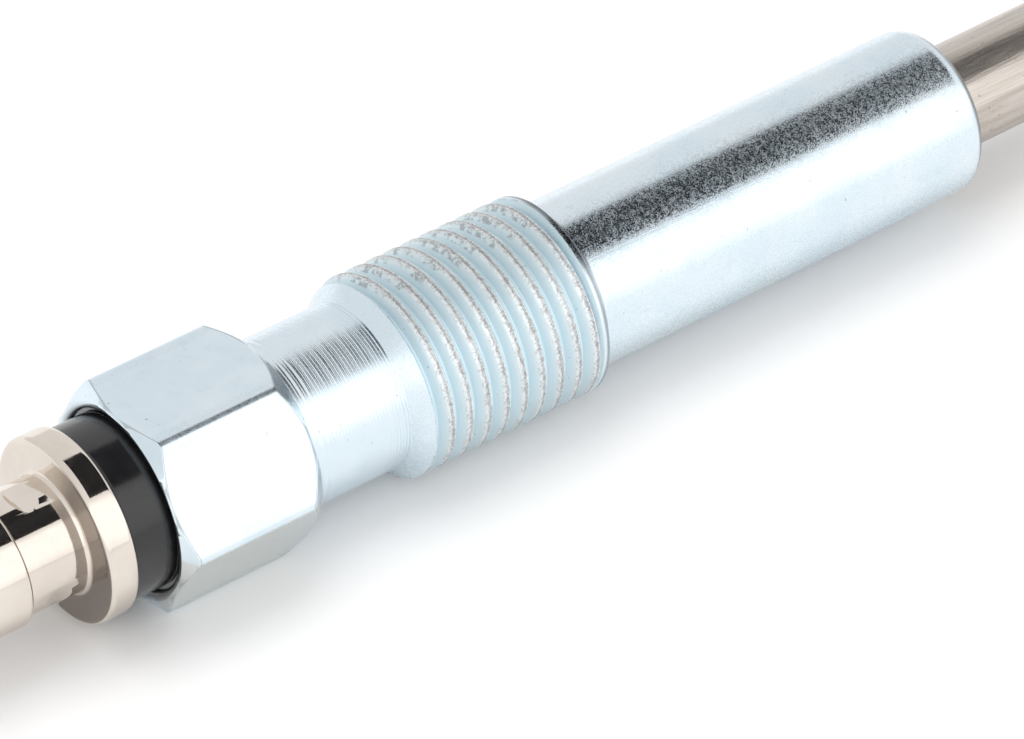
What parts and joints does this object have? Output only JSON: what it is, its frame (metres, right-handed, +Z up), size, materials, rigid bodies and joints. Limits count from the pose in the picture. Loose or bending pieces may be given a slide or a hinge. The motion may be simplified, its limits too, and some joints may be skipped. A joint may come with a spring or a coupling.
{
  "type": "diesel glow plug",
  "caption": "Diesel glow plug with a hexagon and thread on a zinc-plated shell, a push-on bullet terminal and a heater sheath that warms the chamber.",
  "frame": {"origin": "on the plug's axis, where the full thread starts next to the neck", "axes": "+X along the axis from the terminal to the heater tip; +Z up, with one flat of the hexagon facing down"},
  "size_m": [0.0954, 0.0138, 0.012],
  "materials": {
    "zinc_steel": "blue-white zinc plate, satin",
    "sheath_steel": "warm grey, drawn and polished",
    "coil_wire": "dull resistance wire",
    "magnesia": "packed white powder",
    "seal_rubber": "matt black",
    "rod_steel": "drawn steel",
    "black_insulator": "satin black moulding",
    "nickel": "bright warm nickel plate"
  },
  "bodies": {
    "root": {"shell": "zinc_steel", "heater_sheath": "sheath_steel", "heating_coil": "coil_wire", "regulating_coil": "coil_wire", "magnesia_fill": "magnesia", "sheath_seal": "seal_rubber", "centre_rod": "rod_steel", "o_ring": "seal_rubber", "insulator": "black_insulator", "terminal": "nickel"}
  },
  "joints": []
}
